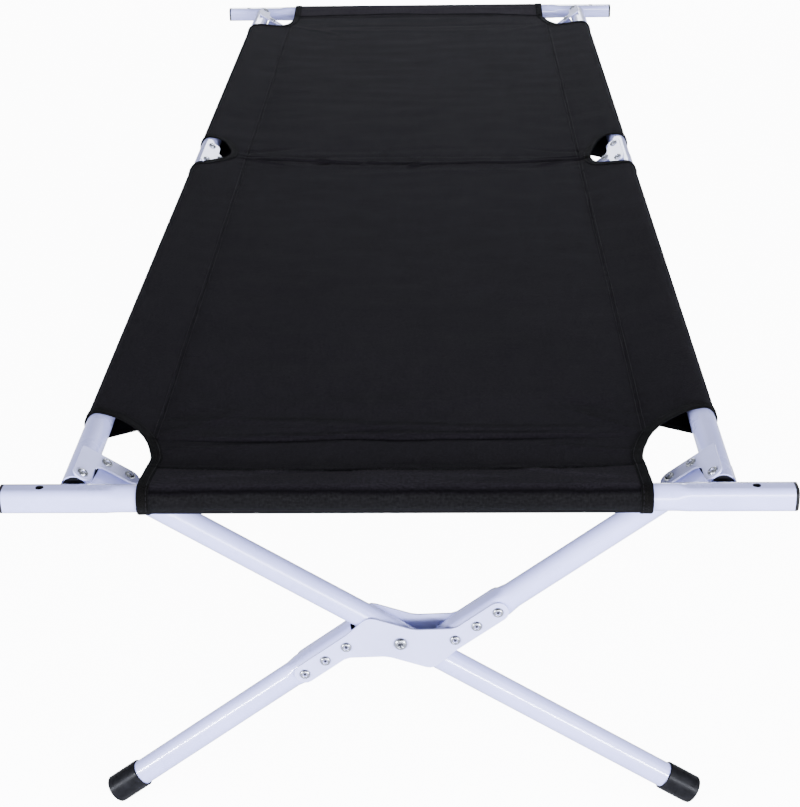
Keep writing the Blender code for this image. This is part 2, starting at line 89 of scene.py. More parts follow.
# Fabric
WRAP = 0.0134  # radius of the cloth's middle where it goes round a tube
PANEL_Z = RAIL_Z + 0.004
MOUTHS = {1: 0.2232, -1: 0.2270}  # mouths of the end sleeves, right (1) and left (-1)
SIDE_SEAM = RAIL_X - 0.059
END_SEAM = BAR_Y - 0.056
SEAM_BOW = (0.016, -0.012, -0.20)  # an end seam's bow towards its bar: constant, linear, square
SLEEVE_RIDGE = BAR_Y + 0.0099  # on the flat cloth, where an end sleeve's doubled front begins
HEM_SWELL = 0.0006
CLOTH = 0.0007  # thickness
SAG = 0.0025
TAPE = 0.0105  # width of the folded binding
SEAM_ROW = 0.0022  # each of a seam's two rows of stitches runs this far from its line
SIDE_STITCHES = (-0.826, 0.825)  # where a side seam's stitches begin and end
STITCH_PITCH = 0.0046
STITCH_LENGTH = 0.0033
STITCH_SIDE = 0.00030  # half a stitch's width
STITCH_ARCH = 0.00032  # height of its arch
ON_BINDING = 0.00105  # height of the binding's top over the cloth's middle
OUTLINE_STEP = 0.003


# ---------------------------------------------------------------- materials
class Shader:
    """A Principled material and short calls for the nodes behind its sockets."""

    def __init__(self, name, colour, roughness, metallic=0.0):
        self.material = bpy.data.materials.new(name)
        self.material.use_nodes = True
        self.tree = self.material.node_tree
        self.main = self.tree.nodes["Principled BSDF"]
        self.main.inputs["Base Color"].default_value = (*colour, 1)
        self.main.inputs["Roughness"].default_value = roughness
        self.main.inputs["Metallic"].default_value = metallic
        self.material.diffuse_color = (*colour, 1)

    def set(self, **values):
        for name, value in values.items():
            self.main.inputs[name.replace("_", " ")].default_value = value

    def node(self, kind, inputs=None, **settings):
        made = self.tree.nodes.new(kind)
        for name, value in settings.items():
            setattr(made, name, value)
        for name, value in (inputs or {}).items():
            if isinstance(value, bpy.types.NodeSocket):
                self.tree.links.new(value, made.inputs[name])
            else:
                made.inputs[name].default_value = value
        return made

    def coords(self, kind="Object", scale=(1, 1, 1), turn=0.0):
        source = self.node("ShaderNodeTexCoord").outputs[kind]
        inputs = {"Vector": source, "Scale": scale, "Rotation": (0, 0, turn)}
        return self.node("ShaderNodeMapping", inputs).outputs[0]

    def noise(self, scale, detail=3.0, rough=0.5, where=None):
        inputs = {"Scale": scale, "Detail": detail, "Roughness": rough}
        inputs["Vector"] = where or self.coords()
        return self.node("ShaderNodeTexNoise", inputs).outputs["Fac"]

    def wave(self, scale, direction, where, warp=0.0):
        inputs = {"Scale": scale, "Distortion": warp, "Vector": where}
        return self.node("ShaderNodeTexWave", inputs, bands_direction=direction).outputs["Fac"]

    def math(self, operation, first, second=0.5):
        return self.node("ShaderNodeMath", {0: first, 1: second}, operation=operation).outputs[0]

    def spread(self, value, low, high, to_low, to_high):
        inputs = {0: value, 1: low, 2: high, 3: to_low, 4: to_high}
        return self.node("ShaderNodeMapRange", inputs).outputs[0]

    def ramp(self, value, stops):
        made = self.node("ShaderNodeValToRGB", {"Fac": value})
        band = made.color_ramp
        while len(band.elements) < len(stops):
            band.elements.new(0.5)
        for element, (place, colour) in zip(band.elements, stops):
            element.position = place
            element.color = (*colour, 1)
        return made.outputs["Color"]

    def bump(self, height, strength, distance, after=None):
        inputs = {"Height": height, "Strength": strength, "Distance": distance}
        if after:
            inputs["Normal"] = after
        return self.node("ShaderNodeBump", inputs).outputs[0]

    def link(self, output, name):
        self.tree.links.new(output, self.main.inputs[name])


def paint_material(name, low, high, roughness):
    """Powder coat: fine orange peel, faint mottling, a few dull rubbed patches."""
    made = Shader(name, high, roughness)
    mottle = made.noise(9.0, 4.0, 0.6)
    made.link(made.ramp(mottle, [(0.30, low), (0.62, high)]), "Base Color")
    rub = made.noise(38.0, 5.0, 0.65)
    made.link(made.spread(rub, 0.35, 0.75, roughness - 0.05, roughness + 0.12), "Roughness")
    peel = made.bump(made.noise(620.0, 2.0, 0.4), 0.10, 0.0004)
    made.link(made.bump(made.noise(55.0, 3.0, 0.5), 0.04, 0.0015, peel), "Normal")
    made.set(Coat_Weight=0.8, Coat_Roughness=0.06, Specular_IOR_Level=0.5)
    return made.material


def rivet_material():
    """Bright zinc with fine turning marks and darker specks."""
    made = Shader("rivet_zinc", (0.36, 0.37, 0.40), 0.2, 1.0)
    specks = made.noise(900.0, 4.0, 0.7)
    made.link(made.ramp(specks, [(0.25, (0.16, 0.17, 0.19)), (0.6, (0.38, 0.39, 0.42))]), "Base Color")
    made.link(made.spread(made.noise(420.0), 0.3, 0.7, 0.14, 0.34), "Roughness")
    made.link(made.bump(made.noise(700.0, 3.0), 0.18, 0.0003), "Normal")
    return made.material


def shaded_bare_material():
    """Unpainted steel, darkened to near black as painted shade: the inside of a tube and the bottom of a
    rivet's recess.
    """
    made = Shader("bare_steel_painted_shade", (0.020, 0.020, 0.024), 0.55, 0.6)
    stain = made.noise(260.0, 4.0, 0.6)
    made.link(made.ramp(stain, [(0.3, (0.012, 0.012, 0.016)), (0.7, (0.045, 0.045, 0.056))]), "Base Color")
    made.link(made.spread(stain, 0.3, 0.7, 0.45, 0.7), "Roughness")
    made.set(Specular_IOR_Level=0.2)
    return made.material


def rubber_material():
    """Moulded rubber: slightly dusty black with a fine pebble."""
    made = Shader("foot_rubber_black", (0.010, 0.010, 0.011), 0.42)
    dust = made.noise(70.0, 6.0, 0.7)
    dust_and_sheen = made.ramp(dust, [(0.35, (0.003, 0.003, 0.0035)), (0.75, (0.010, 0.010, 0.0115))])
    made.link(dust_and_sheen, "Base Color")
    made.link(made.spread(dust, 0.3, 0.8, 0.22, 0.46), "Roughness")
    made.link(made.bump(made.noise(1100.0, 2.0), 0.25, 0.0003), "Normal")
    made.set(Specular_IOR_Level=0.05)
    return made.material


def plug_material():
    """Injection-moulded plastic with a fine spark-eroded grain."""
    made = Shader("plug_black", (0.010, 0.010, 0.011), 0.38)
    grain = made.noise(1500.0, 3.0, 0.6)
    made.link(made.ramp(grain, [(0.3, (0.003, 0.003, 0.0035)), (0.7, (0.008, 0.008, 0.009))]), "Base Color")
    made.link(made.spread(grain, 0.3, 0.7, 0.30, 0.46), "Roughness")
    made.link(made.bump(grain, 0.2, 0.0002), "Normal")
    made.set(Specular_IOR_Level=0.16)
    return made.material


def sleeve_shade(made, flat, colour):
    """Bed colour; on the end sleeves painted shade at seam, ridge and underside, painted light on top,
    painted sheen on front.
    """
    split = made.node("ShaderNodeSeparateXYZ", {"Vector": flat})
    across, along = split.outputs[0], made.math("ABSOLUTE", split.outputs[1])
    constant, linear, square = SEAM_BOW
    slope = made.math("ADD", made.math("MULTIPLY", across, square), linear)
    bow = made.math("ADD", made.math("MULTIPLY", slope, across), constant)
    past_seam = made.math("SUBTRACT", made.math("SUBTRACT", along, END_SEAM), bow)
    drift = made.spread(made.noise(22.0, 2.0, 0.5, flat), 0.2, 0.8, -0.0012, 0.0012)
    past_ridge = made.math("ADD", made.math("SUBTRACT", along, SLEEVE_RIDGE), drift)
    # Painted shade: a dark line along the end seam.
    seam = made.spread(made.math("ABSOLUTE", past_seam), 0.0, 0.0026, 0.45, 1.0)
    # Painted light: the top between the seam and the ridge is made up to 2.5 times lighter.
    rise = made.spread(past_seam, 0.0014, 0.0040, 0.0, 1.0)
    fall = made.spread(past_ridge, -0.0150, -0.0040, 1.0, 0.0)
    top = made.spread(made.math("MULTIPLY", rise, fall), 0.0, 1.0, 1.0, 2.5)
    # Painted shade: a dark line along the ridge where the doubled front begins.
    ridge = made.spread(made.math("ABSOLUTE", past_ridge), 0.0004, 0.0044, 0.20, 1.0)
    # Mask of the front past the ridge, which takes the painted sheen.
    front = made.spread(past_ridge, 0.0010, 0.0034, 0.0, 1.0)
    # Painted shade: darker from the ridge towards the sleeve's underside.
    under = made.spread(past_ridge, 0.0030, 0.0200, 1.0, 0.45)
    factor = made.math("MULTIPLY", made.math("MULTIPLY", seam, top), made.math("MULTIPLY", ridge, under))
    grain = made.noise(1.0, 2.0, 0.7, made.coords("UV", (400.0, 400.0, 1.0)))
    factor = made.math("MULTIPLY", factor, made.spread(grain, 0.3, 0.7, 0.45, 1.6))
    toned = made.node("ShaderNodeVectorMath", {0: colour, "Scale": factor}, operation="SCALE").outputs[0]
    # Painted sheen: the front is tinted olive by this multiply.
    mix = {0: front, 6: toned, 7: (0.86, 0.97, 0.80, 1)}
    dust_and_sheen = made.node("ShaderNodeMix", mix, data_type="RGBA", blend_type="MULTIPLY")
    return dust_and_sheen.outputs[2]


def weave_material(name, dark, light, pitch, strength, sleeves=False):
    """Plain weave on the cloth's own flat coordinates: warp over weft in a checker of threads."""
    made = Shader(name, light, 0.72)
    flat = made.coords("UV")
    bend = made.noise(40.0, 3.0, 0.5, flat)
    warp = made.wave(0.5 / pitch, "X", flat, 0.25)
    weft = made.wave(0.5 / pitch, "Y", flat, 0.25)
    half = made.node("ShaderNodeTexChecker", {"Vector": flat, "Scale": 1.0 / pitch}).outputs["Fac"]
    over = made.node("ShaderNodeMix", {0: half, 2: warp, 3: weft}).outputs[0]
    slub = made.noise(1.0, 4.0, 0.6, made.coords("UV", (90.0, 900.0, 1.0)))
    cross = made.noise(1.0, 4.0, 0.6, made.coords("UV", (900.0, 90.0, 1.0)))
    threads = made.math("MULTIPLY", made.math("ADD", slub, cross), 0.5)
    tone = made.math("ADD", made.math("MULTIPLY", over, 0.55), made.math("MULTIPLY", threads, 0.6))
    cloud = made.math("ADD", tone, made.math("MULTIPLY", made.noise(5.0, 3.0, 0.6, flat), 0.35))
    colour = made.ramp(cloud, [(0.42, dark), (0.96, light)])
    # With sleeves, the colour takes the painted light and shade of sleeve_shade.
    made.link(sleeve_shade(made, flat, colour) if sleeves else colour, "Base Color")
    made.link(made.spread(tone, 0.2, 1.0, 0.62, 0.86), "Roughness")
    fine = made.bump(over, strength, 0.0006)
    crease = made.noise(1.0, 5.0, 0.62, made.coords("UV", (7.0, 15.0, 1.0), 0.15))
    soft = made.bump(made.math("ADD", crease, made.math("MULTIPLY", bend, 0.12)), 0.22, 0.008, fine)
    made.link(soft, "Normal")
    made.set(Sheen_Weight=0.013, Sheen_Roughness=0.35, Specular_IOR_Level=0.018)
    made.main.inputs["Sheen Tint"].default_value = (0.86, 0.86, 1.0, 1)
    return made.material


def thread_material(name, colour):
    """Twisted sewing thread with a slight gloss."""
    made = Shader(name, colour, 0.5)
    twist = made.noise(1600.0, 3.0)
    darker = tuple(0.55 * value for value in colour)
    made.link(made.ramp(twist, [(0.3, darker), (0.7, colour)]), "Base Color")
    made.link(made.bump(twist, 0.4, 0.0002), "Normal")
    made.set(Specular_IOR_Level=0.06)
    return made.material


PAINT = paint_material("frame_powder_coat", (0.375, 0.392, 0.715), (0.450, 0.468, 0.840), 0.30)
BARE_SHADED = shaded_bare_material()
PLATE_PAINT = paint_material("plate_powder_coat", (0.395, 0.408, 0.670), (0.470, 0.486, 0.800), 0.34)
ZINC = rivet_material()
RUBBER = rubber_material()
PLUG = plug_material()
FABRIC = weave_material(
    "oxford_weave", (0.0022, 0.0018, 0.0025), (0.0098, 0.0085, 0.0106),
    pitch=0.0011, strength=0.8, sleeves=True,
)
BINDING = weave_material(
    "binding_tape", (0.0006, 0.0006, 0.0006), (0.0042, 0.0040, 0.0036),
    pitch=0.0015, strength=0.9,
)
THREAD = thread_material("sewing_thread", (0.008, 0.0072, 0.0086))


# ---------------------------------------------------------------- helpers
def piece(name, bm, material):
    """A new mesh object, in the row frame, with one material."""
    mesh = bpy.data.meshes.new(name)
    bm.to_mesh(mesh)
    bm.free()
    mesh.materials.append(material)
    mesh.shade_smooth()
    made = bpy.data.objects.new(name, mesh)
    bpy.context.scene.collection.objects.link(made)
    return made


def axis_frame(centre, direction):
    return Matrix.Translation(centre) @ direction.to_track_quat("Z", "Y").to_matrix().to_4x4()


def add_lathe(bm, profile, place, sides, second_from):
    """Add an open dome turned about local Z from (radius, height) points.

    Bands from number second_from on take the piece's second material.
    """
    rings = []
    for radius, height in profile:
        if radius < 1e-7:
            rings.append([bm.verts.new(place @ Vector((0, 0, height)))])
            continue
        ring = []
        for index in range(sides):
            angle = 2 * math.pi * index / sides
            local = Vector((radius * math.cos(angle), radius * math.sin(angle), height))
            ring.append(bm.verts.new(place @ local))
        rings.append(ring)
    for band, (low, high) in enumerate(zip(rings, rings[1:])):
        for index in range(sides):
            after = (index + 1) % sides
            corners = [low[index], low[after], high[after % len(high)], high[index % len(high)]]
            unique = list(dict.fromkeys(corners))
            if len(unique) > 2:
                bm.faces.new(unique).material_index = int(band >= second_from)


def smoothstep(low, high, value):
    share = min(1.0, max(0.0, (value - low) / (high - low)))
    return share * share * (3 - 2 * share)


# ---------------------------------------------------------------- CAD nodes
def tube_axes():
    """Each tube's (start, direction, side, square); square is (from, sense, half width of its flats)."""
    found = {}
    up = Vector((0, 0, 1))
    along = Vector((0, 1, 0))
    right = Vector((1, 0, 0))
    for side, sign in (("left", -1), ("right", 1)):
        for place in ("near", "far"):
            found[f"rail_{side}_{place}"] = (Vector((sign * RAIL_X, 0, RAIL_Z)), along, right, None)
    leg_a = Vector((math.cos(LEG_A_TILT), 0, -math.sin(LEG_A_TILT)))
    leg_b = Vector((-math.cos(LEG_B_TILT), 0, -math.sin(LEG_B_TILT)))
    top_end = LEG_B_REACH - LEG_B_CUT
    for place, y in FRAMES.items():
        found["leg_a_" + place] = (Vector((-RAIL_X, y, RAIL_Z)), leg_a, along, None)
        rail = Vector((RAIL_X, y, RAIL_Z))
        low_start = Vector((0, y, PIVOT_Z)) + cross_offset(-LEG_B_CUT, -LEG_B_OFFSET)
        found["leg_b_top_" + place] = (rail, leg_b, along, (top_end - LEG_B_SQUARE, 1, LEG_FLAT))
        found["leg_b_low_" + place] = (low_start, leg_b, along, (LEG_B_SQUARE, -1, LEG_FLAT))
    for place, sign in (("near", -1), ("far", 1)):
        found["bar_" + place] = (Vector((0, sign * BAR_Y, RAIL_Z)), right, up, (SQUARE_FROM, 0, BAR_FLAT))
    return found


def cross_offset(along, offset):
    """A place in a crossing, from its pivot, along leg B upwards and square to it."""
    x = along * math.cos(LEG_B_TILT) + offset * math.sin(LEG_B_TILT)
    return Vector((x, 0, along * math.sin(LEG_B_TILT) - offset * math.cos(LEG_B_TILT)))


def flat_half(distance, square):
    """Half width of the flat faces at a distance along the tube: 0 where it is round."""
    if square is None:
        return 0.0
    start, sense, flat = square
    inside = (distance - start) * sense if sense else abs(distance) - start
    return flat * smoothstep(-SQUARE_BLEND, 0.0, inside)


def smooth_tube(node, outside, inside, start, direction, side, square):
    """Normals that follow the true round or rounded-square section, so long facets shade evenly.

    Faces that look towards the tube's axis take the second material.
    """
    mesh = node.data
    mesh.materials.clear()
    mesh.materials.append(outside)
    mesh.materials.append(inside)
    mesh.shade_smooth()
    rise = direction.cross(side)
    normals = []
    for face in mesh.polygons:
        flat_normal = Vector(face.normal)
        for index in face.vertices:
            offset = mesh.vertices[index].co - start
            distance = offset.dot(direction)
            half = flat_half(distance, square)
            a, b = offset.dot(side), offset.dot(rise)
            a -= min(half, max(-half, a))
            b -= min(half, max(-half, b))
            radial = (side * a + rise * b).normalized()
            lean = radial.dot(flat_normal)
            normals.append(radial * math.copysign(1, lean) if abs(lean) > 0.75 else flat_normal)
        middle = Vector(face.center) - start
        middle -= direction * middle.dot(direction)
        face.material_index = int(middle.dot(flat_normal) < 0)
    mesh.normals_split_custom_set(normals)


def finish_node(node, material, bevel=0.0, angle=35.0):
    """Give a CAD node its material, soft shading, and a fine rounding along its edges."""
    node.data.materials.clear()
    node.data.materials.append(material)
    node.data.shade_smooth()
    node.data.set_sharp_from_angle(angle=math.radians(angle))
    if bevel:
        round_off = node.modifiers.new("round_off", "BEVEL")
        round_off.width = bevel
        round_off.segments = 2
        round_off.limit_method = "ANGLE"
        round_off.angle_limit = math.radians(angle)


PLATE_ROUND = 0.0006
PLUG_ROUND = 0.0003


def finish_cad():
    """Every CAD node that stays visible gets its material and shading."""
    tubes = tube_axes()
    for name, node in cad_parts.items():
        if name in tubes:
            # Faces inside a tube take the near-black bare steel: painted shade in the bore.
            smooth_tube(node, PAINT, BARE_SHADED, *tubes[name])
        elif name.startswith(("bracket", "cross")):
            finish_node(node, PLATE_PAINT, PLATE_ROUND)
        elif name.startswith("pivot"):
            finish_node(node, ZINC)
        elif name.startswith("foot"):
            leg = name.replace("foot_a", "leg_a").replace("foot_b", "leg_b_low")
            smooth_tube(node, RUBBER, RUBBER, *tubes[leg][:3], None)
        elif "plug" in name:
            finish_node(node, PLUG, PLUG_ROUND, 40.0)


# ---------------------------------------------------------------- rivet heads
RIVET_PROFILE = [
    (0.00525, -0.0001),
    (0.00532, 0.00035),
    (0.00508, 0.00095),
    (0.00458, 0.00165),
    (0.00392, 0.00222),
    (0.00325, 0.00250),
    (0.00272, 0.00250),
    (0.00240, 0.00222),
    (0.00222, 0.00165),
    (0.00210, 0.00115),
    (0.00170, 0.00100),
    (0.0, 0.00096),
]
RECESS_FROM = 8  # the first band that is bare steel, near-black as painted shade in the recess
RIVET_SIDES = 28
PIVOT_SCALE = 1.24


def rivet_places(side):
    """(point on the head's seat, direction) for each riveted head of one side's brackets."""
    sign = -1 if side == "left" else 1
    tilt = LEG_A_TILT if side == "left" else LEG_B_TILT
    leg = Vector((-sign * math.cos(tilt), 0, -math.sin(tilt)))
    normal = Vector((leg.z, 0, -leg.x)) * sign
    found = []
    for place, y in FRAMES.items():
        across = Vector((0, -1 if place == "far" else 1, 0))
        rail = Vector((sign * RAIL_X, y, RAIL_Z)) + normal * PLATE_OUTER
        found += [(rail + leg * distance, normal) for distance in ARM_RIVETS]
        spots = MIDDLE_RIVETS if place == "middle" else (-RAIL_RIVET,)
        found += [(rail + across * distance, normal) for distance in spots]
    return found


def cross_rivet_places():
    found = []
    for place, y in FRAMES.items():
        face = Vector((0, 1 if place == "far" else -1, 0))
        centre = Vector((0, y, PIVOT_Z)) + face * PLATE_OUTER
        for along in CROSS_RIVETS:
            spot = cross_offset(along, LEG_B_OFFSET)
            found += [(centre + spot, face), (centre - spot, face)]
    return found


def pivot_places():
    found = []
    for place, y in FRAMES.items():
        face = Vector((0, 1 if place == "far" else -1, 0))
        found.append((Vector((0, y, PIVOT_Z)) + face * (PLATE_OUTER + PIVOT_SEAT), face))
    return found


def add_rivet_heads():
    groups = {
        "rivet_heads_left": ("left_side", rivet_places("left"), 1.0),
        "rivet_heads_right": ("right_side", rivet_places("right"), 1.0),
        "rivet_heads_crossings": ("right_side", cross_rivet_places(), 1.0),
        "rivet_heads_pivots": ("right_side", pivot_places(), PIVOT_SCALE),
    }
    for name, (body, places, scale) in groups.items():
        bm = bmesh.new()
        profile = [(radius * scale, height * scale) for radius, height in RIVET_PROFILE]
        for point, direction in places:
            add_lathe(bm, profile, axis_frame(point, direction), RIVET_SIDES, RECESS_FROM)
        bmesh.ops.recalc_face_normals(bm, faces=bm.faces)
        heads = piece(name, bm, ZINC)
        # The recess bands take the near-black bare steel: painted shade.
        heads.data.materials.append(BARE_SHADED)
        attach(heads, body)


# ---------------------------------------------------------------- fabric shape
def teardrop(seam_gap):
    """(straight length, first angle, last angle) of cloth from a seam round a tube and back."""
    rise = PANEL_Z - RAIL_Z
    reach = math.hypot(seam_gap, rise)
    straight = math.sqrt(reach**2 - WRAP**2)
    toward = math.pi - math.atan2(rise, seam_gap)
    spread = math.acos(WRAP / reach)
    return straight, toward - spread, toward + spread - 2 * math.pi


SIDE_DROP = teardrop(RAIL_X - SIDE_SEAM)
END_DROP = teardrop(BAR_Y - END_SEAM)
SIDE_WRAP_FROM = SIDE_SEAM + SIDE_DROP[0]
SIDE_WRAP_TO = SIDE_WRAP_FROM + WRAP * (SIDE_DROP[1] - SIDE_DROP[2])
SIDE_END = SIDE_WRAP_TO + SIDE_DROP[0] - 0.0008
END_WRAP_FROM = END_SEAM + END_DROP[0]
END_WRAP_TO = END_WRAP_FROM + WRAP * (END_DROP[1] - END_DROP[2])
END_END = END_WRAP_TO + END_DROP[0] - 0.0008


def hem_swell(t):
    """How far the doubled front of an end sleeve stands out beyond the top's single cloth."""
    begun = smoothstep(SLEEVE_RIDGE - 0.0006, SLEEVE_RIDGE + 0.0016, t)
    return HEM_SWELL * begun * (1 - smoothstep(SLEEVE_RIDGE + 0.016, END_WRAP_TO - 0.004, t))


def around(flat, seam, centre, drop, swell=0.0):
    """(distance out, height) of a flat coordinate that lies past its seam, wrapped round a tube."""
    straight, first, last = drop
    past = flat - seam
    length = WRAP * (first - last)
    if past <= straight:
        end = Vector((centre + WRAP * math.cos(first), RAIL_Z + WRAP * math.sin(first)))
        return Vector((seam, PANEL_Z)).lerp(end, past / straight)
    if past <= straight + length:
        angle = first - (past - straight) / WRAP
        radius = WRAP + swell
        return Vector((centre + radius * math.cos(angle), RAIL_Z + radius * math.sin(angle)))
    share = min(1.0, (past - straight - length) / straight)
    start = Vector((centre + WRAP * math.cos(last), RAIL_Z + WRAP * math.sin(last)))
    return start.lerp(Vector((seam, PANEL_Z - 0.0011)), share)


CREASES = [
    # (x, y, half length, direction in degrees, half width, height)
    (-0.168, 0.030, 0.052, -2.0, 0.0021, -0.0024),
    (-0.060, 0.020, 0.060, -4.0, 0.0020, -0.0026),
    (0.120, 0.018, 0.130, 3.4, 0.0020, -0.0025),
    (-0.168, 0.037, 0.060, -2.0, 0.0034, 0.0013),
    (-0.055, 0.027, 0.070, -4.0, 0.0034, 0.0013),
    (0.115, 0.025, 0.120, 3.4, 0.0034, 0.0013),
    (0.000, 0.008, 0.190, 0.6, 0.0070, 0.0009),
    (0.000, 0.050, 0.170, 0.5, 0.0060, -0.0010),
    (-0.128, 0.028, 0.010, 62.0, 0.0038, 0.0030),
    (-0.120, 0.022, 0.010, 40.0, 0.0030, -0.0020),
    (-0.062, 0.021, 0.010, 48.0, 0.0040, 0.0026),
    (0.002, 0.012, 0.011, 60.0, 0.0038, 0.0030),
    (0.010, 0.006, 0.010, 30.0, 0.0030, -0.0020),
    (0.050, -0.020, 0.120, 3.0, 0.0090, 0.0012),
    (-0.060, 0.078, 0.140, 3.0, 0.0090, -0.0010),
    (-0.020, -0.826, 0.190, 0.8, 0.0030, -0.0020),
    (0.020, -0.818, 0.180, 0.4, 0.0040, 0.0014),
    (0.050, -0.802, 0.150, -1.0, 0.0046, 0.0013),
    (-0.100, -0.790, 0.090, -3.0, 0.0050, 0.0012),
    (0.020, -0.745, 0.140, 2.0, 0.0110, 0.0012),
    (0.010, 0.815, 0.180, 1.0, 0.0070, -0.0014),
    (-0.040, 0.780, 0.150, -2.0, 0.0090, 0.0012),
    (0.205, 0.040, 0.035, 8.0, 0.0032, 0.0016),
    (0.200, 0.020, 0.035, 26.0, 0.0030, 0.0015),
    (0.200, 0.074, 0.040, -16.0, 0.0045, -0.0013),
    (-0.205, 0.046, 0.035, -6.0, 0.0032, 0.0016),
    (-0.200, 0.024, 0.035, -24.0, 0.0030, 0.0015),
    (-0.200, 0.078, 0.040, 14.0, 0.0045, -0.0013),
    (0.190, -0.790, 0.045, -38.0, 0.0042, 0.0015),
    (-0.190, -0.795, 0.045, 38.0, 0.0042, 0.0015),
    (0.195, -0.760, 0.040, -24.0, 0.0050, -0.0012),
    (-0.195, -0.765, 0.040, 24.0, 0.0050, -0.0012),
    (-0.180, -0.845, 0.045, 12.0, 0.0036, 0.0013),
    (0.180, -0.848, 0.045, -10.0, 0.0036, 0.0013),
    (-0.170, 0.400, 0.012, 70.0, 0.0050, 0.0012),
    (-0.205, -0.560, 0.060, -62.0, 0.0060, -0.0009),
    (-0.150, -0.906, 0.050, 13.0, 0.0040, 0.0014),
    (-0.070, -0.900, 0.050, 8.0, 0.0036, -0.0011),
    (0.040, -0.908, 0.060, -4.0, 0.0042, 0.0012),
    (0.150, -0.902, 0.050, -15.0, 0.0040, 0.0014),
    (0.185, 0.785, 0.050, 38.0, 0.0055, 0.0014),
    (-0.185, 0.785, 0.050, -38.0, 0.0055, 0.0014),
]


def crease_height(x, y):
    total = 0.0
    for cx, cy, half, degrees, width, height in CREASES:
        angle = math.radians(degrees)
        dx, dy = x - cx, y - cy
        along = dx * math.cos(angle) + dy * math.sin(angle)
        if abs(along) > 1.6 * half:
            continue
        wander = 0.004 * noise.noise(Vector((along * 14, cy * 31, 2.0)))
        off = dy * math.cos(angle) - dx * math.sin(angle) - wander
        fade = 1 - smoothstep(0.55 * half, 1.5 * half, abs(along))
        total += height * math.exp(-((off / width) ** 2)) * fade
    return total


def seam_dip(distance):
    return -0.0011 * math.exp(-((distance / 0.0019) ** 2))


def seam_bow(s):
    """How far an end seam is pulled towards its bar at s."""
    constant, linear, square = SEAM_BOW
    return constant + linear * s + square * s * s


def loose(s, t):
    """Small heights that keep the stretched cloth from being a plane: sag, creases and puckers."""
    x_room = min(1.0, max(0.0, 1 - abs(s) / RAIL_X))
    y_room = min(1.0, max(0.0, 1 - abs(t) / BAR_Y))
    sag = -SAG * (1 - (1 - x_room) ** 2) * (1 - (1 - y_room) ** 4)
    waves = noise.noise(Vector((s * 7, t * 4.5, 0.3)))
    ripples = noise.noise(Vector((s * 17, t * 27, 5.0)))
    broad = 0.0022 * waves + 0.0011 * ripples
    calm = smoothstep(0.0, 0.05, x_room) * smoothstep(0.0, 0.02, y_room)
    pucker = 0.0
    end_gap = abs(abs(t) - END_SEAM - seam_bow(s))
    for gap, phase, depth in ((abs(abs(s) - SIDE_SEAM), t, 0.3), (end_gap, s, 0.9)):
        near = math.exp(-((gap / 0.010) ** 2))
        pucker += near * 0.00055 * noise.noise(Vector((phase * 95, gap * 40, 9.0)))
        pucker += depth * seam_dip(gap)
    return sag + (broad + crease_height(s, t)) * calm + pucker


def lay(s, t):
    """The place in space of the flat cloth's point (s, t)."""
    if abs(s) > SIDE_SEAM:
        out, height = around(abs(s), SIDE_SEAM, RAIL_X, SIDE_DROP)
        x, y, z = math.copysign(out, s), t, height
    elif abs(t) > END_SEAM:
        out, height = around(abs(t), END_SEAM, BAR_Y, END_DROP, hem_swell(abs(t)))
        x, y, z = s, math.copysign(out, t), height
    else:
        x, y, z = s, t, PANEL_Z
    top = abs(s) < SIDE_WRAP_FROM and abs(t) < END_WRAP_FROM
    return Vector((x, y, z + (loose(s, t) if top else 0.0)))


def lay_normal(s, t):
    step = 0.0008
    run = lay(s + step, t) - lay(s - step, t)
    rise = lay(s, t + step) - lay(s, t - step)
    return run.cross(rise).normalized()


# ---------------------------------------------------------------- fabric outline
NEAR_CORNERS = {
    1: [
        (MOUTHS[1], -END_SEAM),
        (0.2222, -0.866),
        (0.2270, -0.842),
        (0.2350, -0.821),
        (0.2475, -0.803),
        (0.2620, -0.792),
        (0.2760, -0.785),
        (0.2900, -0.782),
        (0.3050, -0.782),
        (0.3200, -0.784),
        (0.3400, -0.787),
        (0.3700, -0.789),
        (SIDE_END, -0.790),
    ],
    -1: [
        (MOUTHS[-1], -END_SEAM),
        (0.2262, -0.866),
        (0.2315, -0.843),
        (0.2390, -0.824),
        (0.2505, -0.808),
        (0.2640, -0.797),
        (0.2770, -0.791),
        (0.2900, -0.788),
        (0.3050, -0.788),
        (0.3200, -0.789),
        (0.3400, -0.791),
        (0.3700, -0.792),
        (SIDE_END, -0.792),
    ],
}
FAR_CORNER = [
    (0.2284, 0.866),
    (0.2305, 0.848),
    (0.2360, 0.829),
    (0.2455, 0.813),
    (0.2560, 0.806),
    (0.2680, 0.804),
    (0.2800, 0.801),
    (0.2890, 0.796),
    (0.3000, 0.793),
    (0.3180, 0.793),
    (0.3400, 0.796),
    (0.3700, 0.799),
    (SIDE_END, 0.800),
]
NOTCHES = {
    1: [
        (SIDE_END, -0.016),
        (0.3450, -0.016),
        (0.3250, -0.0165),
        (0.3100, -0.016),
        (0.2990, -0.0145),
        (0.2880, -0.012),
        (0.2790, -0.010),
        (0.2700, -0.0075),
        (0.2615, -0.005),
        (0.2535, -0.0005),
        (0.2480, 0.0095),
        (0.2450, 0.0240),
        (0.2455, 0.042),
        (0.2500, 0.062),
        (0.2570, 0.084),
        (0.2645, 0.102),
        (0.2745, 0.112),
        (0.2900, 0.1115),
        (0.3080, 0.108),
        (0.3250, 0.094),
        (0.3450, 0.073),
        (SIDE_END, 0.062),
    ],
    -1: [
        (SIDE_END, -0.010),
        (0.3450, -0.011),
        (0.3250, -0.0125),
        (0.3100, -0.012),
        (0.2980, -0.006),
        (0.2880, -0.001),
        (0.2790, 0.005),
        (0.2715, 0.014),
        (0.2615, 0.025),
        (0.2545, 0.037),
        (0.2525, 0.050),
        (0.2540, 0.064),
        (0.2585, 0.080),
        (0.2655, 0.097),
        (0.2765, 0.110),
        (0.2910, 0.112),
        (0.3080, 0.109),
        (0.3250, 0.095),
        (0.3450, 0.074),
        (SIDE_END, 0.063),
    ],
}


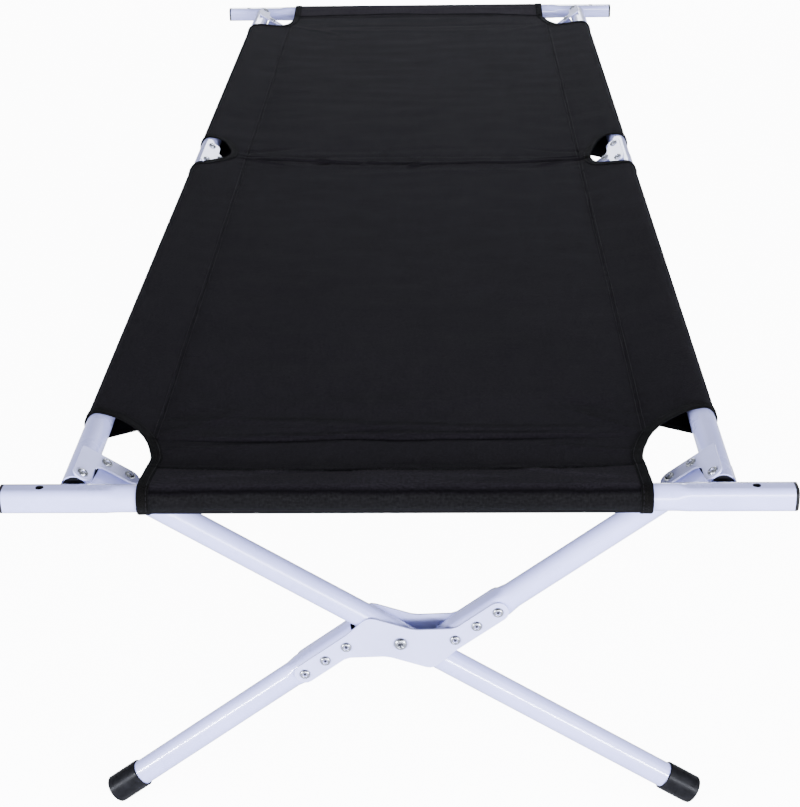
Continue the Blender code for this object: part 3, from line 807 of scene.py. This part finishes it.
def spline(points, step):
    """Points along a smooth curve through the given ones, about a step apart."""
    found = []
    for index in range(len(points) - 1):
        p0 = Vector(points[max(index - 1, 0)])
        p1, p2 = Vector(points[index]), Vector(points[index + 1])
        p3 = Vector(points[min(index + 2, len(points) - 1)])
        count = max(1, round((p2 - p1).length / step))
        for k in range(count):
            u = k / count
            square = p0 * 2 - p1 * 5 + p2 * 4 - p3
            cube = p1 * 3 - p0 - p2 * 3 + p3
            bend = (p2 - p0) * u + square * u**2 + cube * u**3
            found.append(p1 + bend * 0.5)
    found.append(Vector(points[-1]))
    return found


def straight(first, last, step):
    first, last = Vector(first), Vector(last)
    count = max(1, round((last - first).length / step))
    return [first.lerp(last, k / count) for k in range(count + 1)]


def near_edge(mirror):
    """The cut edge of the near corner: up the bar sleeve's mouth and round to the side sleeve's."""
    mouth = MOUTHS[mirror]
    sleeve = straight((mouth, -END_END), (mouth, -END_SEAM), OUTLINE_STEP)
    return sleeve + spline(NEAR_CORNERS[mirror], OUTLINE_STEP)[1:]


def far_edge(mirror):
    """The cut edge of the far corner, from the side sleeve's mouth to the far bar's."""
    mouth = MOUTHS[mirror]
    corner = spline([(mouth, END_SEAM)] + FAR_CORNER, OUTLINE_STEP)[::-1]
    return corner + straight((mouth, END_SEAM), (mouth, END_END), OUTLINE_STEP)[1:]


def side_outline(mirror):
    """One side's edge of the flat cloth, from the near end to the far one, as if on the right."""
    near, far = near_edge(mirror), far_edge(mirror)
    notch = spline(NOTCHES[mirror], OUTLINE_STEP)
    first = straight(near[-1], notch[0], 0.008)[1:-1]
    second = straight(notch[-1], far[0], 0.008)[1:-1]
    return near + first + notch + second + far


def flat_outline():
    """The closed outline of the flat cloth, counter-clockwise from the near right corner."""
    right = side_outline(1)
    left = [Vector((-point.x, point.y)) for point in reversed(side_outline(-1))]
    top = straight(right[-1], left[0], 0.009)[1:-1]
    bottom = straight(left[-1], right[0], 0.009)[1:-1]
    return right + top + left + bottom


def spaced(stops):
    """Grid lines from (position, step) stops: each step holds up to the next position."""
    lines = []
    for (start, step), (end, _) in zip(stops, stops[1:]):
        count = max(1, round((end - start) / step))
        lines += [start + (end - start) * k / count for k in range(count)]
    lines.append(stops[-1][0])
    return lines


def grid_lines():
    """Across and along positions of the cloth's points, closer together where it bends."""
    across = spaced([
        (0.0, 0.0075), (SIDE_SEAM - 0.006, 0.002), (SIDE_SEAM + 0.006, 0.006),
        (SIDE_WRAP_FROM, 0.0035), (SIDE_WRAP_TO, 0.008), (SIDE_END, 1),
    ])
    near = spaced([
        (0.018, 0.0060), (0.180, 0.0075), (0.770, 0.0030), (0.840, 0.0045), (END_SEAM - 0.002, 0.002),
        (END_SEAM + 0.022, 0.0045), (END_WRAP_FROM, 0.0035),
        (SLEEVE_RIDGE - 0.002, 0.0011), (SLEEVE_RIDGE + 0.003, 0.0035), (END_WRAP_TO, 0.008), (END_END, 1),
    ])
    far = spaced([
        (-0.018, 0.0016), (0.058, 0.0050), (0.130, 0.0075), (END_SEAM - 0.002, 0.002),
        (END_SEAM + 0.022, 0.0045), (END_WRAP_FROM, 0.0035),
        (SLEEVE_RIDGE - 0.002, 0.0011), (SLEEVE_RIDGE + 0.003, 0.0035), (END_WRAP_TO, 0.008), (END_END, 1),
    ])
    return [-v for v in reversed(across[1:])] + across, [-v for v in reversed(near[1:])] + far


def inside_outline(outline, margin):
    """A quick test of whether a grid point lies inside the outline, at least a margin from it."""
    edges = list(zip(outline, outline[1:] + outline[:1]))
    bands = {}
    for first, last in edges:
        low, high = sorted((first.y, last.y))
        for band in range(math.floor((low - margin) / 0.02), math.floor((high + margin) / 0.02) + 1):
            bands.setdefault(band, []).append((first, last))

    def test(x, y):
        crossings = 0
        for first, last in bands.get(math.floor(y / 0.02), []):
            span = last - first
            along = ((x - first.x) * span.x + (y - first.y) * span.y) / max(span.length_squared, 1e-12)
            share = max(0.0, min(1.0, along))
            if math.hypot(x - first.x - span.x * share, y - first.y - span.y * share) < margin:
                return False
            if (first.y > y) != (last.y > y) and x < first.x + span.x * (y - first.y) / span.y:
                crossings += 1
        return crossings % 2 == 1

    return test


def flat_area(outline):
    pairs = zip(outline, outline[1:] + outline[:1])
    return abs(sum(a.x * b.y - b.x * a.y for a, b in pairs)) / 2


def build_fabric():
    """The one sheet of cloth: bed, side sleeves and end sleeves, cut flat and wrapped round the frame."""
    outline = flat_outline()
    keep = inside_outline(outline, 0.0016)
    across, along = grid_lines()
    points = list(outline)
    points += [Vector((s, t)) for t in along for s in across if keep(s, t)]
    ring = list(range(len(outline)))
    verts, _, faces, _, _, _ = delaunay_2d_cdt(points, [], [ring], 1, 1e-7)
    bm = bmesh.new()
    flat = bm.loops.layers.uv.new("flat")
    made = [bm.verts.new(lay(v.x, v.y)) for v in verts]
    for face in faces:
        new = bm.faces.new([made[index] for index in face])
        for loop, index in zip(new.loops, face):
            loop[flat].uv = (verts[index].x, verts[index].y)
    bm.normal_update()
    fabric = piece("cot_fabric_sheet", bm, FABRIC)
    thick = fabric.modifiers.new("cloth", "SOLIDIFY")
    thick.thickness = CLOTH
    thick.offset = 0
    return fabric, flat_area(outline)


# ---------------------------------------------------------------- binding and stitches
def inward(points):
    """Unit vectors to the left of a run of flat points."""
    found = []
    for index in range(len(points)):
        before = points[max(index - 1, 0)]
        after = points[min(index + 1, len(points) - 1)]
        run = (after - before).normalized()
        found.append(Vector((-run.y, run.x)))
    return found


TAPE_SECTION = [
    (TAPE, 0.00045), (TAPE - 0.0004, 0.00125), (TAPE - 0.0020, 0.00110), (TAPE * 0.4, 0.00120),
    (0.0008, 0.00130), (-0.0006, 0.00070),
    (-0.0006, -0.00050), (0.0008, -0.00095), (TAPE - 0.0006, -0.00085), (TAPE, -0.00045),
]


def add_tape(bm, uv, points, mirror):
    """Binding folded over one cut edge, as a thin closed band that follows the cloth."""
    sides = inward(points)
    rings = []
    for point, side in zip(points, sides):
        ring = []
        for offset, lift in TAPE_SECTION:
            s, t = point + side * offset
            ring.append(bm.verts.new(lay(s * mirror, t) + lay_normal(s * mirror, t) * lift))
        rings.append(ring)
    run = 0.0
    count = len(TAPE_SECTION)
    for index, (first, second) in enumerate(zip(rings, rings[1:])):
        step = (points[index + 1] - points[index]).length
        for k in range(count):
            n = (k + 1) % count
            face = bm.faces.new((first[k], first[n], second[n], second[k]))
            places = ((0, k), (0, k + 1), (step, k + 1), (step, k))
            for loop, (u, v) in zip(face.loops, places):
                loop[uv].uv = (run + u, v * TAPE / 4)
        run += step
    bm.faces.new(rings[0][::-1])
    bm.faces.new(rings[-1])


def bound_edges(mirror):
    """The cut edges that carry binding on one side: both corners and the notch between them."""
    return [near_edge(mirror), spline(NOTCHES[mirror], OUTLINE_STEP), far_edge(mirror)]


def build_binding():
    bm = bmesh.new()
    uv = bm.loops.layers.uv.new("flat")
    for mirror in (1, -1):
        for run in bound_edges(mirror):
            add_tape(bm, uv, run, mirror)
    bmesh.ops.recalc_face_normals(bm, faces=bm.faces)
    return piece("edge_binding", bm, BINDING)


STITCH_PROFILE = [(0.0, 0.0), (0.22, 1.0), (0.5, 1.25), (0.78, 1.0), (1.0, 0.0)]


def add_stitch(bm, first, last, lift, mirror):
    """One short raised thread between two flat points."""
    middle = (first + last) / 2
    run = (last - first).normalized()
    side = Vector((-run.y, run.x)) * STITCH_SIDE
    rows = [(first.lerp(last, share), arch) for share, arch in STITCH_PROFILE]
    normal = lay_normal(middle.x * mirror, middle.y)
    rings = []
    for point, arch in rows:
        under = lay(point.x * mirror, point.y)
        base = under + normal * (lift + STITCH_ARCH * arch)
        edge = lay((point.x + side.x) * mirror, point.y + side.y) - under
        ring = [base - edge - normal * 0.0001, base + normal * 0.00022, base + edge - normal * 0.0001]
        rings.append([bm.verts.new(place) for place in ring])
    for low, high in zip(rings, rings[1:]):
        for k in range(3):
            n = (k + 1) % 3
            bm.faces.new((low[k], low[n], high[n], high[k]))
    bm.faces.new(rings[0][::-1])
    bm.faces.new(rings[-1])


def stitch_run(bm, points, lift, mirror):
    """Stitches of even pitch along a run of flat points."""
    travelled, target = 0.0, STITCH_PITCH / 2
    for first, last in zip(points, points[1:]):
        span = (last - first).length
        run = (last - first) / max(span, 1e-9)
        while target <= travelled + span:
            centre = first + run * (target - travelled)
            half = run * (STITCH_LENGTH / 2)
            add_stitch(bm, centre - half, centre + half, lift, mirror)
            target += STITCH_PITCH
        travelled += span


def offset_run(points, distance):
    return [point + side * distance for point, side in zip(points, inward(points))]


def build_stitches():
    bm = bmesh.new()
    cloth = CLOTH / 2
    for mirror in (1, -1):
        for gap in (-SEAM_ROW, SEAM_ROW):
            side = SIDE_SEAM + gap
            first, last = SIDE_STITCHES
            stitch_run(bm, straight((side, first), (side, last), 0.02), cloth, mirror)
        for sign in (1, -1):
            for gap in (-SEAM_ROW, SEAM_ROW):
                end = END_SEAM + gap
                run = straight((0.0, end), (MOUTHS[mirror] - TAPE, end), 0.01)
                bowed = [Vector((v.x, sign * (v.y + seam_bow(mirror * v.x)))) for v in run]
                stitch_run(bm, bowed, cloth, mirror)
        for run in bound_edges(mirror):
            stitch_run(bm, offset_run(run, TAPE - SEAM_ROW), ON_BINDING, mirror)
    bmesh.ops.recalc_face_normals(bm, faces=bm.faces)
    return piece("seam_stitches", bm, THREAD)


def add_fabric():
    fabric, area = build_fabric()
    binding = build_binding()
    stitches = build_stitches()
    for made in (fabric, binding, stitches):
        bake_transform(made)
    soft = [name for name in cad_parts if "sleeve" in name or name == "bed_panel"]
    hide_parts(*soft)


# ---------------------------------------------------------------- studio
FLOOR_HALF = 150.0
FLOOR_GLOW = 11.0  # what the camera sees of the floor and the background, over the light they give
WORLD_LIGHT = 0.50
LENS = 78.04
CAMERA_BACK = 1.3504  # how far the camera stands in front of the near bar
CAMERA_TURN = (-0.0278, 0.4436, 0.0163)  # yaw, pitch down and roll, in radians


def add_floor():
    """A wide pale floor that is near-white to the camera and throws no extra light on the cot."""
    bm = bmesh.new()
    bmesh.ops.create_grid(bm, x_segments=1, y_segments=1, size=FLOOR_HALF)
    mesh = bpy.data.meshes.new("floor")
    bm.to_mesh(mesh)
    bm.free()
    made = Shader("floor_white", (0.92, 0.92, 0.93), 0.85)
    patches = made.ramp(made.noise(2.0), [(0.3, (0.91, 0.91, 0.92)), (0.7, (0.93, 0.93, 0.94))])
    made.link(patches, "Base Color")
    seen = made.node("ShaderNodeLightPath").outputs["Is Camera Ray"]
    made.link(made.math("MULTIPLY", seen, FLOOR_GLOW), "Emission Strength")
    made.main.inputs["Emission Color"].default_value = (1, 1, 1, 1)
    made.set(Specular_IOR_Level=0.0)
    mesh.materials.append(made.material)
    floor = bpy.data.objects.new("floor", mesh)
    bpy.context.scene.collection.objects.link(floor)


def add_light(name, place, target, size, power, colour=(0.87, 0.90, 1.0)):
    data = bpy.data.lights.new(name, "AREA")
    data.shape = "RECTANGLE"
    data.size, data.size_y = size
    data.energy = power
    data.color = colour
    made = bpy.data.objects.new(name, data)
    made.location = place
    made.rotation_euler = (Vector(target) - Vector(place)).to_track_quat("-Z", "Y").to_euler()
    bpy.context.scene.collection.objects.link(made)


def add_studio():
    add_floor()
    world = bpy.data.worlds.new("studio")
    bpy.context.scene.world = world
    world.use_nodes = True
    tree = world.node_tree
    background = tree.nodes["Background"]
    background.inputs["Color"].default_value = (0.93, 0.95, 1.0, 1)
    strength = tree.nodes.new("ShaderNodeMath")
    strength.operation = "MULTIPLY_ADD"
    strength.inputs[1].default_value = FLOOR_GLOW
    strength.inputs[2].default_value = WORLD_LIGHT
    tree.links.new(tree.nodes.new("ShaderNodeLightPath").outputs["Is Camera Ray"], strength.inputs[0])
    tree.links.new(strength.outputs[0], background.inputs["Strength"])
    add_light("back", (0.2, 3.8, 1.35), (0, 0.4, 0.37), (2.6, 0.7), 62)
    add_light("overhead", (0.3, 0.4, 3.0), (0, 0, 0.3), (1.4, 3.0), 14)
    add_light("left", (-2.8, -1.9, 1.3), (0, -0.4, 0.25), (1.0, 2.8), 35)
    add_light("right", (2.8, -2.1, 1.3), (0, -0.4, 0.25), (1.0, 2.8), 62)
    add_light("front", (0.6, -4.4, 0.95), (0, -0.6, 0.25), (2.6, 0.9), 220)
    add_light("strip_left", (-2.75, -3.2, 0.80), (0, -0.87, 0.1), (1.7, 0.22), 280)
    add_light("strip_right", (2.35, -3.7, 0.85), (0, -0.87, 0.1), (1.7, 0.34), 300)


def add_camera():
    """A long lens from the near end, a little above the bed."""
    data = bpy.data.cameras.new("camera")
    data.sensor_width = 36
    data.lens = LENS
    data.clip_end = 60
    made = bpy.data.objects.new("camera", data)
    made.location = (0.042, -CAMERA_BACK - BAR_Y, 1.1053)
    yaw, pitch, roll = CAMERA_TURN
    forward = Vector((math.sin(yaw) * math.cos(pitch), math.cos(yaw) * math.cos(pitch), -math.sin(pitch)))
    right = Vector((math.cos(yaw), -math.sin(yaw), 0))
    down = forward.cross(right)
    turned = right * math.cos(roll) + down * math.sin(roll)
    lower = down * math.cos(roll) - right * math.sin(roll)
    matrix = Matrix((turned, -lower, -forward)).transposed().to_4x4()
    made.matrix_world = Matrix.Translation(made.location) @ matrix
    bpy.context.scene.collection.objects.link(made)
    bpy.context.scene.camera = made


add_camera()
add_studio()
finish_cad()
add_rivet_heads()
add_fabric()
